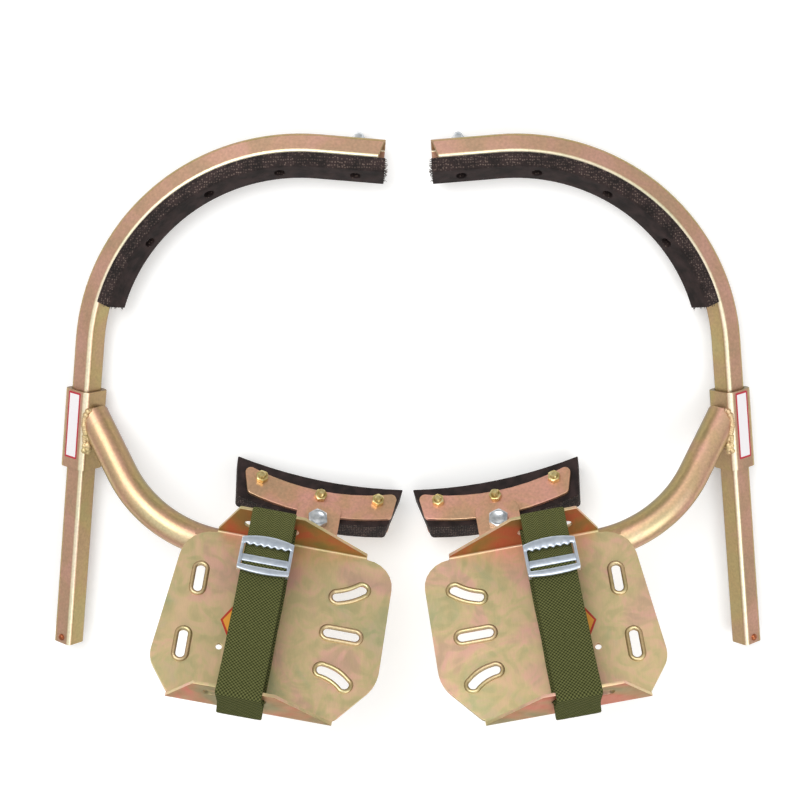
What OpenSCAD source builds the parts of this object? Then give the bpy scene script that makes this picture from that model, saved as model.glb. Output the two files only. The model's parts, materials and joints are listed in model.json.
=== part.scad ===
// A mirrored pair of adjustable pole-climbing hooks, lying on a floor.
// Each hook: a bent square arm that slides in a sleeve, a leg pipe, a foot plate
// with two turned-up flanges and a webbing strap, and a swivelling rubber pad.

/* [Layout] */
// Lean of each arm's straight run towards the other hook
arm_lean = 6.2; // [4:0.1:6.5]
// Distance from the mirror plane to each sleeve's centre
sleeve_x = 292.6; // [290:0.1:320]
// Distance of each sleeve's centre from the origin, along Y
sleeve_y = -27.0; // [-60:0.1:20]
// Roll of the square sections about their own length
roll = 35; // [30:1:45]

/* [Arm] */
// Side of the arm's square tube
arm_side = 20; // [18:0.5:22]
// Outer corner radius of the arm's tube
arm_corner = 3.5; // [2:0.5:5]
// Wall of the arm's tube
arm_wall = 2; // [1.5:0.1:3]
// Length of the arm below its bend
arm_run = 286; // [250:1:320]
// Radius of the arm's bend at its centreline
arm_bend_r = 191; // [170:1:210]
// Angle that the arm turns through
arm_turn = 88.5; // [80:0.5:89.5]
// Straight length beyond the bend
arm_tip = 58; // [40:1:58]
// Slope of the bevel cut on the upper half of the arm's tip
tip_bevel = 25; // [0:1:30]
// Width of the arm's rubber strip
strip_w = 22; // [18:1:24]
// Thickness of the arm's rubber strip
strip_t = 14; // [10:1:16]
// Angle along the bend where the rubber strip starts
strip_start = 11.5; // [5:0.5:20]

/* [Sleeve] */
// Outer side of the sleeve
sleeve_side = 28; // [27:0.5:32]
// Outer corner radius of the sleeve
sleeve_corner = 5; // [3:0.5:6]
// Gap between the arm and the sleeve, each side
sleeve_gap = 0.5; // [0.3:0.1:0.8]
// Length of the sleeve
sleeve_len = 72.5; // [60:0.5:90]
// Length of the arm below the sleeve's centre, at rest
arm_below = 205; // [180:1:240]

/* [Leg pipe] */
// Outer diameter of the leg pipe
pipe_d = 27.5; // [24:0.5:30]
// Wall of the leg pipe
pipe_wall = 2.5; // [2:0.1:3]
// Bend radius of the leg pipe
pipe_bend_r = 122; // [90:1:130]
// Distance from the foot plate's centre to the corner where the pipe's two runs would meet
pipe_corner = 108.7; // [100:0.1:115]

/* [Foot plate] */
// Slope of the foot plate
plate_slope = 46; // [40:1:50]
// Yaw of the foot plate against the arm
plate_yaw = 4.8; // [0:0.1:8]
// Distance from the sleeve to the middle of the plate's front fold, across the arm
plate_x = 184.4; // [175:0.1:195]
// Distance from the sleeve to the middle of the plate's front fold, along the arm
plate_y = 66.3; // [60:0.1:75]
// Thickness of the foot plate
plate_t = 3; // [2:0.5:4]
// Distance between the plate's two folds
plate_depth = 158.5; // [140:0.5:180]
// Height of the plate's flanges
flange_h = 42; // [35:1:50]
// Outward lean of the flanges
flange_flare = 3; // [0:0.5:8]
// Inner radius of the folds
fold_r = 2; // [1:0.5:4]

/* [Strap and buckle] */
// Width of the webbing
strap_w = 38; // [30:1:40]
// Thickness of the webbing
strap_t = 2.4; // [2:0.1:3]
// Middle of the strap along the folds
strap_x = -5; // [-8:0.5:0]
// Height of the strap's upper layer above the plate
strap_top = 45.5; // [44:0.5:50]
// Height of the strap's lower layer at the front flange
strap_in_front = 19; // [17:0.5:21]
// Height of the strap's lower layer at the rear flange
strap_in_rear = 28; // [26:0.5:30]
// Distance of the buckle behind the front fold
buckle_back = 42; // [30:1:60]

/* [Pad] */
// Place of the pivot bolt along the folds
pivot_x = 33; // [30:1:36]
// Distance of the pivot bolt beyond the front fold
pivot_y = 29; // [26:1:34]
// Thickness of the tab that carries the pad
tab_t = 5; // [4:0.5:6]
// Thickness of each steel plate of the pad
pad_steel_t = 4; // [3:0.5:5]
// Thickness of the pad's rubber
pad_rubber_t = 22; // [18:1:26]
// Radius of the pad's steel edge that faces the pole
pad_steel_r = 198; // [180:1:240]
// Radius of the pad's rubber edge that grips the pole
pad_grip_r = 380; // [300:10:450]

/* [Hidden] */
$fn = 48;

// Height of the arm's axis: the sleeve's lowest corner rests on the floor
axis_z = (sleeve_side / 2 - sleeve_corner) * sqrt(2) * cos(45 - roll) + sleeve_corner;
bend_y = arm_run - arm_below;

// Screws and bolts of the arm
screw_turns = [33.6, 56.3, 77.9];
screw_head_r = 4;
screw_head_h = 3;
screw_shank_r = 2.5;
screw_len = 9;
screw_well_r = 4.6;
screw_well = 8;
tip_bolt_back = 24;
tip_bolt_r = 3;
rivet_r = 3;
rivet_dome = 2.2;
rivet_back = 5.5;
label_t = 0.3;

// Where a straight run meets a bend it laps this far in, and is this much fatter
lap = 0.5;
hair = 0.02;

// Pad outline, measured from the pivot bolt
pad_steel_front = 33.6;
pad_steel_back = 9;
pad_left = -74;
pad_right = 68;
pad_bolt_spots = [[-55.9, 35.2], [-1, 27.4], [50.4, 33.2]];
pad_bolt_tips = [2, 5, 2];
pad_bolt_r = 3;
pad_head_h = 4;
pad_nut_h = 5;
washer_t = 1.2;
rubber_left = -81.3;
rubber_right = 71.8;
rubber_front = 46.8;
rubber_back = 5.5;
lug_r = 17;
nut_notch_r = 12.5;
tab_half = 19.5;
tab_front = 19;
tab_root = -50;
pivot_r = 5;
pivot_fit = 0.05;
pivot_head_h = 6.4;
pivot_head_across = 16;
pivot_nut_h = 8;
pivot_washer_t = 1.5;
hex = 2 / sqrt(3);

// Height of the plate's top face at the front fold: the pad's grip edge rests on the floor
pad_low = plate_t + tab_t + pad_steel_t + pad_rubber_t;
grip_far = pivot_y + rubber_front + pow(rubber_left - 3, 2) / (2 * pad_grip_r);
plate_z = sin(plate_slope) * grip_far + cos(plate_slope) * pad_low;

// ---- points and vectors ----

function unit(a) = a / norm(a);

function arc_points(centre, r, from, to, steps) =
    [for (i = [0:steps]) centre + r * [cos(from + (to - from) * i / steps),
                                       sin(from + (to - from) * i / steps)]];

// One corner of an outline, rounded: p and q are its neighbours, c = [x, y, radius]
function round_corner(p, c, q, steps = 6) =
    c[2] == 0 ? [[c[0], c[1]]] :
    let (corner = [c[0], c[1]],
         a = unit([p[0], p[1]] - corner),
         b = unit([q[0], q[1]] - corner),
         half = acos(a * b) / 2,
         reach = c[2] / tan(half),
         centre = corner + unit(a + b) * c[2] / sin(half),
         start = corner + a * reach - centre,
         stop = corner + b * reach - centre,
         from = atan2(start[1], start[0]),
         turn = atan2(stop[1], stop[0]) - from,
         sweep = turn > 180 ? turn - 360 : turn < -180 ? turn + 360 : turn)
    arc_points(centre, c[2], from, from + sweep, steps);

function rounded(corners, steps = 6) =
    let (n = len(corners))
    [for (i = [0:n - 1])
        each round_corner(corners[(i + n - 1) % n], corners[i], corners[(i + 1) % n], steps)];

// A closed path moved sideways by d
function beside(path, d) =
    let (n = len(path))
    [for (i = [0:n - 1])
        let (along = unit(path[(i + 1) % n] - path[(i + n - 1) % n]))
        path[i] + d * [-along[1], along[0]]];

// ---- frames ----

module left() {
    translate([-sleeve_x, sleeve_y, 0]) rotate([0, 0, -arm_lean]) children();
}

module right() {
    mirror([1, 0, 0]) left() children();
}

// At a given turn of the arm: X outward, Y back along the arm, Z out of the outer top face
module on_arm(turn) {
    translate([arm_bend_r, bend_y, axis_z]) rotate([0, 0, 180 - turn])
        translate([arm_bend_r, 0, 0]) rotate([0, roll, 0]) children();
}

// On the foot plate: X along the folds, Y up to the front fold, Z out of the top face
module on_plate() {
    translate([plate_x, -plate_y, plate_z]) rotate([-plate_slope, 0, -plate_yaw]) children();
}

module on_pivot() {
    on_plate() translate([pivot_x, pivot_y, 0]) children();
}

module rounded_square(side, r) {
    h = side / 2;
    polygon(rounded([[-h, -h, r], [h, -h, r], [h, h, r], [-h, h, r]]));
}

module stadium(length, width) {
    square([length - width, width], center = true);
    for (s = [-1, 1]) translate([s * (length - width) / 2, 0]) circle(d = width);
}

// A slot whose middle bulges up by the given amount, over the same two round ends
module bent_slot(length, width, bulge) {
    half = (length - width) / 2;
    r = (half * half + bulge * bulge) / (2 * bulge);
    spread = asin(half / r);
    centre = [0, bulge - r];
    polygon(concat(
        arc_points(centre, r + width / 2, 90 + spread, 90 - spread, 12),
        arc_points([half, 0], width / 2, 90 - spread, -90 - spread, 10),
        arc_points(centre, r - width / 2, 90 - spread, 90 + spread, 12),
        arc_points([-half, 0], width / 2, 270 + spread, 90 + spread, 10)));
}

// ---- arm ----

// Sweeps a section, drawn with X outward and Y out of the outer top face, round the bend
// and out to the tip
module round_bend(from_turn, tip) {
    translate([arm_bend_r, bend_y, axis_z]) rotate([0, 0, 180 - arm_turn])
        rotate_extrude(angle = arm_turn - from_turn, $fn = 120)
            translate([arm_bend_r, 0]) rotate(-roll) children();
    on_arm(arm_turn) rotate([90, 0, 0]) linear_extrude(tip) children();
}

// A square bar along the whole arm; its straight run laps into the bend, a hair proud of it
module arm_bar(side, corner, extra) {
    round_bend(0, arm_tip + extra) rounded_square(side, corner);
    on_arm(0) translate([0, arm_run + extra, 0]) rotate([90, 0, 0])
        linear_extrude(arm_run + extra + lap) rounded_square(side + 2 * hair, corner + hair);
}

module arm_holes() {
    for (turn = screw_turns)
        on_arm(turn) translate([-arm_side, 0, 0]) rotate([0, 90, 0])
            cylinder(r = screw_shank_r, h = arm_side);
    on_arm(arm_turn) translate([-arm_side, tip_bolt_back - arm_tip, 0]) rotate([0, 90, 0])
        cylinder(r = tip_bolt_r, h = 2 * arm_side);
    on_arm(0) translate([0, arm_run - rivet_back, 0]) cylinder(r = 2, h = arm_side);
}

module arm() {
    color("#c9ab7c") difference() {
        arm_bar(arm_side, arm_corner, 0);
        arm_bar(arm_side - 2 * arm_wall, arm_corner - arm_wall, 1);
        arm_holes();
        on_arm(arm_turn) rotate([0, -roll, 0]) translate([0, -arm_tip, 0])
            rotate([-tip_bevel, 0, 0]) translate([-arm_side, -arm_side, 0])
                cube([2 * arm_side, arm_side, arm_side]);
    }
}

module arm_rubber() {
    color("#332827") difference() {
        round_bend(strip_start, arm_tip + 1)
            translate([-arm_side / 2 - strip_t, -strip_w / 2]) square([strip_t, strip_w]);
        for (turn = screw_turns)
            on_arm(turn) strip_well();
        on_arm(arm_turn) translate([0, tip_bolt_back - arm_tip, 0]) strip_well();
    }
}

module strip_well() {
    translate([-arm_side / 2 - strip_t, 0, 0]) rotate([0, 90, 0]) {
        translate([0, 0, -1]) cylinder(r = screw_well_r, h = screw_well + 1);
        cylinder(r = tip_bolt_r, h = strip_t + 1);
    }
}

// A pan-head screw whose head's seat is at the origin and whose shank points along +X
module strip_screw(shank_r, length) {
    rotate([0, 90, 0]) {
        cylinder(r = shank_r, h = length);
        translate([0, 0, -screw_head_h]) cylinder(r1 = screw_head_r - 1, r2 = screw_head_r, h = screw_head_h);
    }
}

module strip_seat() {
    translate([-arm_side / 2 - strip_t + screw_well, 0, 0]) children();
}

module arm_screws() {
    color("#c9ccd0")
        for (turn = screw_turns)
            on_arm(turn) strip_seat() strip_screw(screw_shank_r, screw_len);
}

module arm_tip_bolt() {
    color("#c9ccd0") on_arm(arm_turn) translate([0, tip_bolt_back - arm_tip, 0])
        strip_seat() strip_screw(tip_bolt_r, strip_t - screw_well + arm_side + 5);
}

module arm_tip_nut() {
    color("#d7dade") on_arm(arm_turn) translate([arm_side / 2, tip_bolt_back - arm_tip, 0])
        rotate([0, 90, 0]) difference() {
            union() {
                cylinder(r = 5 * hex, h = 5, $fn = 6);
                translate([0, 0, 5]) sphere(r = 4.7);
            }
            translate([0, 0, -1]) cylinder(r = tip_bolt_r, h = 6);
        }
}

module stop_rivet() {
    color("#9c5a3c") on_arm(0) translate([0, arm_run - rivet_back, arm_side / 2 + hair]) {
        intersection() {
            translate([0, 0, rivet_dome - rivet_r * 1.15]) sphere(r = rivet_r * 1.15);
            cylinder(r = rivet_r, h = rivet_r);
        }
        translate([0, 0, -arm_wall - 1]) cylinder(r = 2, h = arm_wall + 1.5);
    }
}

// ---- sleeve and leg ----

module sleeve_block(length) {
    on_arm(0) translate([0, bend_y + length / 2, 0]) rotate([90, 0, 0])
        linear_extrude(length) rounded_square(sleeve_side, sleeve_corner);
}

module sleeve() {
    bore = arm_side + 2 * sleeve_gap;
    color("#c7aa78") difference() {
        sleeve_block(sleeve_len);
        on_arm(0) translate([0, bend_y + sleeve_len, 0]) rotate([90, 0, 0])
            linear_extrude(2 * sleeve_len) rounded_square(bore, arm_corner + sleeve_gap);
    }
}

module sleeve_label() {
    color("white") on_arm(0) translate([1, bend_y - 4, sleeve_side / 2])
        translate([-7.5, -30.5, 0]) cube([14, 61, label_t]);
}

// The leg runs from the sleeve's inner top face to a line under the foot plate
plate_h = [cos(plate_yaw), -sin(plate_yaw), 0];
plate_v = [sin(plate_yaw) * cos(plate_slope), cos(plate_yaw) * cos(plate_slope), -sin(plate_slope)];
plate_n = cross(plate_h, plate_v);
pipe_r = pipe_d / 2;
pipe_under = plate_t + pipe_r;
pipe_behind = 5;
pipe_start = [sleeve_side / 2 * cos(roll) - 1.4, 11.3, axis_z + sleeve_side / 2 * sin(roll) - 2];
pipe_knee = [plate_x, -plate_y, plate_z] - pipe_corner * plate_h
    - pipe_behind * plate_v - pipe_under * plate_n;
pipe_dir = unit(pipe_knee - pipe_start);
pipe_turn = acos(pipe_dir * plate_h);
pipe_reach = pipe_bend_r * tan(pipe_turn / 2);
pipe_side = unit(plate_h - pipe_dir * (pipe_dir * plate_h));
pipe_centre = pipe_knee - pipe_dir * pipe_reach + pipe_side * pipe_bend_r;
pipe_run = norm(pipe_knee - pipe_start) - pipe_reach;
pipe_end = pipe_corner - pipe_reach + 8;
pipe_bite = 4;

// A round bar along the whole leg; the run under the plate laps into the bend
module pipe_bar(r, extra) {
    across = cross(-pipe_side, pipe_dir);
    multmatrix([for (i = [0:2]) [-pipe_side[i], pipe_dir[i], across[i], pipe_centre[i]]]) {
        translate([pipe_bend_r, 0, 0]) rotate([90, 0, 0])
            cylinder(r = r, h = pipe_run + pipe_bite + extra);
        rotate_extrude(angle = pipe_turn, $fn = 96) translate([pipe_bend_r, 0]) circle(r = r);
        rotate([0, 0, pipe_turn]) translate([pipe_bend_r, -lap, 0]) rotate([-90, 0, 0])
            cylinder(r = r + hair, h = pipe_end + extra + lap);
    }
}

module leg_pipe() {
    color("#c5a273") difference() {
        pipe_bar(pipe_r, 0);
        pipe_bar(pipe_r - pipe_wall, 1);
        sleeve_block(3 * sleeve_len);
        on_plate() translate([-70, -60, -plate_t]) cube([140, 120, 60]);
    }
}

// ---- foot plate ----

front_fold = [-51, 82];
rear_fold = [-65, 75];
slot_rim = 2.5;
slot_rise = 1.5;
// Slots of the foot plate: [x, y, length, width, angle, bulge]
plate_slots = [[72, -38, 32, 9.2, 28, -1.2], [70.6, -78, 32, 9.2, 0, 0],
               [69.4, -118, 32, 9.2, -25, 2], [-58.1, -49, 26.5, 8.4, 92, 0],
               [-60.7, -112, 26.5, 8.4, 92, 0]];
small_hole = [-29.7, -108.6];
small_hole_r = 2.7;

// Outline of the flat part, each corner with its radius
plate_outline = [
    [-77.5, -fold_r, 28], [-85.7, -129, 24], [rear_fold[0], -plate_depth + fold_r, 4],
    [rear_fold[1] + 1, -plate_depth + fold_r, 8], [107.5, -118, 35], [107.5, -fold_r, 25]];

module bent_flange(height) {
    turn = 90 - flange_flare;
    foot = [-fold_r, fold_r];
    rise = height - fold_r;
    up = [sin(flange_flare), cos(flange_flare)];
    inner = arc_points(foot, fold_r, -90, -90 + turn, 6);
    outer = arc_points(foot, fold_r + plate_t, -90 + turn, -90, 6);
    polygon(concat([[-fold_r - 4, -plate_t], [-fold_r - 4, 0]], inner,
        [inner[6] + up * rise, outer[0] + up * rise], outer));
}

// A flange seen face on: its two ends slope in to a level top
module flange_face(fold, top) {
    polygon(rounded([[fold[0], -plate_t - 1, 0], [fold[1], -plate_t - 1, 0],
        [fold[1], 1.5, 3], [top[1], flange_h + 3, 0], [top[0], flange_h + 3, 0],
        [fold[0], 1.5, 3]]));
}

module flange(fold, top, slot_x, slot_w, slot_z) {
    difference() {
        intersection() {
            translate([fold[0], 0, 0]) rotate([90, 0, 90])
                linear_extrude(fold[1] - fold[0]) bent_flange(flange_h);
            translate([0, 20, 0]) rotate([90, 0, 0]) linear_extrude(40) flange_face(fold, top);
        }
        translate([slot_x, 20, slot_z]) rotate([90, 0, 0]) linear_extrude(40)
            stadium(slot_w, 10);
    }
}

// One slot, or its rim when grown is positive
module plate_slot(s, grown) {
    translate([s[0], s[1]]) rotate(s[4])
        if (s[5] == 0) stadium(s[2] + 2 * grown, s[3] + 2 * grown);
        else mirror([0, s[5] < 0 ? 1 : 0])
            bent_slot(s[2] + 2 * grown, s[3] + 2 * grown, abs(s[5]));
}

module foot_plate() {
    color("#c8b07c") on_plate() {
        difference() {
            union() {
                translate([0, 0, -plate_t]) linear_extrude(plate_t) polygon(rounded(plate_outline));
                for (s = plate_slots) linear_extrude(slot_rise) plate_slot(s, slot_rim);
            }
            for (s = plate_slots)
                translate([0, 0, -plate_t - 1])
                    linear_extrude(plate_t + slot_rise + 2) plate_slot(s, 0);
            translate([small_hole[0], small_hole[1], -plate_t - 1])
                cylinder(r = small_hole_r, h = plate_t + 2);
        }
        flange(front_fold, [-33, 17.5], strap_x, 48, strap_in_front);
        translate([0, -plate_depth, 0]) mirror([0, 1, 0])
            flange(rear_fold, [-41, 20], strap_x - 3, 52, strap_in_rear);
    }
}

module plate_label() {
    color("#d98a2b") on_plate() translate([-12, -84, 0])
        cylinder(r = 21, h = label_t, $fn = 6);
}

// ---- pad ----

// Points along an arc of the pad's steel band, between two distances from the pivot;
// the end points that are corners of the outline carry a radius
function band_edge(r, from_x, to_x, first_r, last_r, steps) =
    let (hub_y = pad_steel_front + pad_steel_r)
    [for (i = [0:steps])
        let (a = asin(from_x / r) + (asin(to_x / r) - asin(from_x / r)) * i / steps)
        [r * sin(a), hub_y - r * cos(a), i == 0 ? first_r : i == steps ? last_r : 0]];

// The steel band between the pole's side and the back; a lug goes in its middle
module pad_band(lug) {
    back_r = pad_steel_r + pad_steel_front - pad_steel_back;
    polygon(rounded(concat(
        band_edge(pad_steel_r, pad_left, pad_right, 5, 5, 10),
        band_edge(back_r, pad_right - 3, lug_r, 5, 0, 4),
        lug ? [for (p = arc_points([0, 0], lug_r, 0, -180, 12)) [p[0], p[1], 0]] : [],
        band_edge(back_r, -lug_r, pad_left + 8, 0, 5, 4))));
}

module pad_bolt_holes(r) {
    for (p = pad_bolt_spots) translate(p) circle(r = r);
}

module pad_top_plate() {
    color("#cf9f86") on_pivot() translate([0, 0, -plate_t - tab_t - pad_steel_t])
        linear_extrude(pad_steel_t) difference() {
            pad_band(true);
            circle(r = pivot_r + pivot_fit);
            pad_bolt_holes(pad_bolt_r);
        }
}

module pad_rubber() {
    front = [for (i = [0:10]) let (x = rubber_left + (rubber_right - rubber_left) * i / 10)
        [x, rubber_front + pow(x - 3, 2) / (2 * pad_grip_r), 0]];
    back = [for (i = [0:8]) let (x = rubber_right - 9 - (rubber_right - rubber_left - 15) * i / 8)
        [x, rubber_back + pow(x - 3, 2) / (2 * 280), i == 0 || i == 8 ? 4 : 0]];
    color("#2a2222") on_pivot() translate([0, 0, -pad_low])
        linear_extrude(pad_rubber_t) difference() {
            polygon(rounded(concat(front, back), 4));
            circle(r = nut_notch_r);
            pad_bolt_holes(pad_bolt_r);
        }
}

module pad_bottom_plate() {
    color("#bf9a6c") on_pivot() translate([0, 0, -pad_low - pad_steel_t])
        linear_extrude(pad_steel_t) difference() {
            pad_band(false);
            pad_bolt_holes(pad_bolt_r);
        }
}

module pad_bolts() {
    shank = washer_t + 2 * pad_steel_t + pad_rubber_t + pad_nut_h;
    color("#d8c27c") on_pivot() for (i = [0:2])
        translate([pad_bolt_spots[i][0], pad_bolt_spots[i][1], -pad_low - pad_steel_t - washer_t]) {
            cylinder(r = pad_bolt_r, h = shank + pad_bolt_tips[i]);
            translate([0, 0, -pad_head_h]) cylinder(r = 5 * hex, h = pad_head_h, $fn = 6);
        }
}

module pad_washers() {
    color("#d2bd7c") on_pivot() for (p = pad_bolt_spots)
        translate([p[0], p[1], -pad_low - pad_steel_t - washer_t]) difference() {
            cylinder(r = 6, h = washer_t);
            translate([0, 0, -1]) cylinder(r = pad_bolt_r, h = washer_t + 2);
        }
}

module pad_nuts() {
    color("#d8c27c") on_pivot() for (p = pad_bolt_spots)
        translate([p[0], p[1], -plate_t - tab_t]) difference() {
            cylinder(r = 5 * hex, h = pad_nut_h, $fn = 6);
            translate([0, 0, -1]) cylinder(r = pad_bolt_r, h = pad_nut_h + 2);
        }
}

module pad_tab() {
    color("#cda286") on_pivot() translate([0, 0, -plate_t - tab_t])
        linear_extrude(tab_t) difference() {
            polygon(rounded([[-tab_half, tab_root, 0], [tab_half, tab_root, 0],
                [tab_half, tab_front, 7], [-tab_half, tab_front, 7]]));
            circle(r = pivot_r);
        }
}

module pivot_bolt() {
    grip = tab_t + pad_steel_t + pivot_washer_t + pivot_nut_h + 2;
    color("#d5d9de") on_pivot() {
        translate([0, 0, -plate_t - grip]) cylinder(r = pivot_r, h = grip);
        translate([0, 0, -plate_t]) rotate(12)
            cylinder(r = pivot_head_across / 2 * hex, h = pivot_head_h, $fn = 6);
    }
}

module pivot_washer() {
    color("#cfd2d6") on_pivot()
        translate([0, 0, -plate_t - tab_t - pad_steel_t - pivot_washer_t - 0.1]) difference() {
            cylinder(r = 10, h = pivot_washer_t);
            translate([0, 0, -1]) cylinder(r = pivot_r, h = pivot_washer_t + 2);
        }
}

module pivot_nut() {
    color("#cfd2d6") on_pivot()
        translate([0, 0, -plate_t - tab_t - pad_steel_t - pivot_washer_t - 0.1 - pivot_nut_h])
            difference() {
                cylinder(r = 8.5 * hex, h = pivot_nut_h, $fn = 6);
                translate([0, 0, -1]) cylinder(r = pivot_r, h = pivot_nut_h + 2);
            }
}

// ---- strap and buckle ----

// The webbing's closed path across the plate: X is the plate's depth, Y the height above it
strap_front = 8.5;
strap_rear = -plate_depth - 12.6;
strap_return = -plate_depth - 7;
strap_low = 5;
strap_path = rounded([
    [strap_front, strap_top, 4], [strap_rear, strap_top, 4], [strap_rear, strap_low, 2.6],
    [strap_return, strap_low, 2.6], [strap_return, strap_in_rear, 3],
    [strap_front, strap_in_front, 4]], 5);

module strap() {
    color("#4e5a2e") on_plate() translate([strap_x, 0, 0]) rotate([90, 0, 90])
        difference() {
            linear_extrude(strap_w, center = true) polygon(beside(strap_path, -strap_t / 2));
            linear_extrude(strap_w + 2, center = true) polygon(beside(strap_path, strap_t / 2));
        }
}

buckle_w = 44;
buckle_rail = 2;
buckle_bar_t = 1.6;
buckle_gap = 0.5;
tooth_count = 14;

// The outer edge of a buckle bar, from right to left, bowed out in the middle
function bar_edge(y, bow) =
    [for (i = [0:10]) let (x = buckle_w / 2 * (1 - i / 5))
        [x, y + bow * (1 - pow(2 * x / buckle_w, 2))]];

module buckle() {
    above = strap_top + strap_t / 2 + buckle_gap;
    below = strap_top - strap_t / 2 - buckle_gap;
    half = buckle_w / 2;
    inside = half - buckle_rail;
    color("#c6cfdb") on_plate() translate([strap_x, -buckle_back, 0]) {
        // clamping bar with a toothed edge
        translate([0, 0, above]) linear_extrude(buckle_bar_t) polygon(concat(
            bar_edge(14.5, 3.5),
            [for (i = [0:tooth_count]) [-inside + 2 * inside * i / tooth_count, i % 2 == 0 ? 10 : 8.6]]));
        // plain bar
        translate([0, 0, above]) linear_extrude(buckle_bar_t)
            polygon(concat(bar_edge(-15, -2), [[-half, -11], [half, -11]]));
        // bar under the webbing
        translate([-half, -5, below - buckle_bar_t]) cube([buckle_w, 6, buckle_bar_t]);
        // side rails
        for (s = [-1, 1])
            translate([s * (half - buckle_rail / 2) - buckle_rail / 2, -15, below - buckle_bar_t])
                cube([buckle_rail, 30, above - below + 2 * buckle_bar_t]);
    }
}

// ---- the two hooks ----

left() arm();  // left_arm
left() arm_rubber();  // left_arm_rubber
left() arm_screws();  // left_arm_screws
left() arm_tip_bolt();  // left_arm_tip_bolt
left() arm_tip_nut();  // left_arm_tip_nut
left() stop_rivet();  // left_stop_rivet
left() sleeve();  // left_sleeve
left() sleeve_label();  // left_sleeve_label
left() leg_pipe();  // left_leg_pipe
left() foot_plate();  // left_foot_plate
left() plate_label();  // left_plate_label
left() pad_tab();  // left_pad_tab
left() pad_top_plate();  // left_pad_top_plate
left() pad_rubber();  // left_pad_rubber
left() pad_bottom_plate();  // left_pad_bottom_plate
left() pad_bolts();  // left_pad_bolts
left() pad_nuts();  // left_pad_nuts
left() pad_washers();  // left_pad_washers
left() pivot_bolt();  // left_pivot_bolt
left() pivot_washer();  // left_pivot_washer
left() pivot_nut();  // left_pivot_nut
left() strap();  // left_strap
left() buckle();  // left_buckle
right() arm();  // right_arm
right() arm_rubber();  // right_arm_rubber
right() arm_screws();  // right_arm_screws
right() arm_tip_bolt();  // right_arm_tip_bolt
right() arm_tip_nut();  // right_arm_tip_nut
right() stop_rivet();  // right_stop_rivet
right() sleeve();  // right_sleeve
right() sleeve_label();  // right_sleeve_label
right() leg_pipe();  // right_leg_pipe
right() foot_plate();  // right_foot_plate
right() plate_label();  // right_plate_label
right() pad_tab();  // right_pad_tab
right() pad_top_plate();  // right_pad_top_plate
right() pad_rubber();  // right_pad_rubber
right() pad_bottom_plate();  // right_pad_bottom_plate
right() pad_bolts();  // right_pad_bolts
right() pad_nuts();  // right_pad_nuts
right() pad_washers();  // right_pad_washers
right() pivot_bolt();  // right_pivot_bolt
right() pivot_washer();  // right_pivot_washer
right() pivot_nut();  // right_pivot_nut
right() strap();  // right_strap
right() buckle();  // right_buckle
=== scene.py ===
import json
from math import acos, cos, pi, radians, sin, tan

import bmesh
import bpy
import numpy as np
from mathutils import Matrix, Vector


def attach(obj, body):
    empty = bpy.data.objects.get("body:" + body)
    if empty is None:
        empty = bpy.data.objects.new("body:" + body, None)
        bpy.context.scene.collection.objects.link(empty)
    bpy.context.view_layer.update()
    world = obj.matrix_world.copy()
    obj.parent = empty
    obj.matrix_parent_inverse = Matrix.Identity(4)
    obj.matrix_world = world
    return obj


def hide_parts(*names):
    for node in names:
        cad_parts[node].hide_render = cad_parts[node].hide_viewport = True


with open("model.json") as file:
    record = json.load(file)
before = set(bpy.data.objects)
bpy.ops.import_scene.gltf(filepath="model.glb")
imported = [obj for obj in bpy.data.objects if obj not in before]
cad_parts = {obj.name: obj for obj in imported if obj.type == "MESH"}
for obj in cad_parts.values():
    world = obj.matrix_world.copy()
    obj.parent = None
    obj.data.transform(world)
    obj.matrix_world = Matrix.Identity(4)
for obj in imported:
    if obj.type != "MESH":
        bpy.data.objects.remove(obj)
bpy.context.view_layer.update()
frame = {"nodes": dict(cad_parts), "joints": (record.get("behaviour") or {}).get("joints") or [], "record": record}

# ---- Camera, floor and light ----
# A long lens looks almost straight down on the pair, a little from the side of the arms'
# bends, which is up in the view. The floor is plain and nearly white, the light soft.

eye = Vector((-0.0072, 0.3582, 1.5767))
aim = Vector((-0.0072, -0.0017, 0.0177))
camera = bpy.data.objects.new("camera", bpy.data.cameras.new("camera"))
camera.data.lens = 80
camera.data.sensor_width = 36
backward = (eye - aim).normalized()
upward = (Vector((0, 1, 0)) - backward * backward.y).normalized()
camera.matrix_world = Matrix.Translation(eye) @ Matrix((upward.cross(backward), upward,
    backward)).transposed().to_4x4()
bpy.context.scene.collection.objects.link(camera)
bpy.context.scene.camera = camera
bpy.context.scene.view_settings.view_transform = "Standard"


def linear(hex_colour):
    """An sRGB hex colour as the linear RGBA that a shader takes."""
    channels = [int(hex_colour[i:i + 2], 16) / 255 for i in (1, 3, 5)]
    return [c / 12.92 if c <= 0.04045 else ((c + 0.055) / 1.055) ** 2.4 for c in channels] + [1.0]


def node(tree, kind, links=None, **settings):
    """Adds a node. links maps a socket's name or number to a value or to another node's output."""
    added = tree.nodes.new(kind)
    for name, value in settings.items():
        setattr(added, name, value)
    for socket, value in (links or {}).items():
        if isinstance(value, bpy.types.NodeSocket):
            tree.links.new(value, added.inputs[socket])
        else:
            added.inputs[socket].default_value = value
    return added


def finish(name, surface):
    """A new material: its empty tree and the Principled shader, with the given plain values."""
    material = bpy.data.materials.new(name)
    material.use_nodes = True
    tree = material.node_tree
    shader = tree.nodes["Principled BSDF"]
    for socket, value in surface.items():
        shader.inputs[socket].default_value = value
    return material, tree, shader


def ramp(tree, factor, stops):
    """A colour ramp through the given (place, hex colour) stops."""
    added = node(tree, "ShaderNodeValToRGB", {"Fac": factor})
    elements = added.color_ramp.elements
    while len(elements) < len(stops):
        elements.new(0.5)
    for element, (place, colour) in zip(elements, stops):
        element.position = place
        element.color = linear(colour)
    return added.outputs["Color"]


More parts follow.
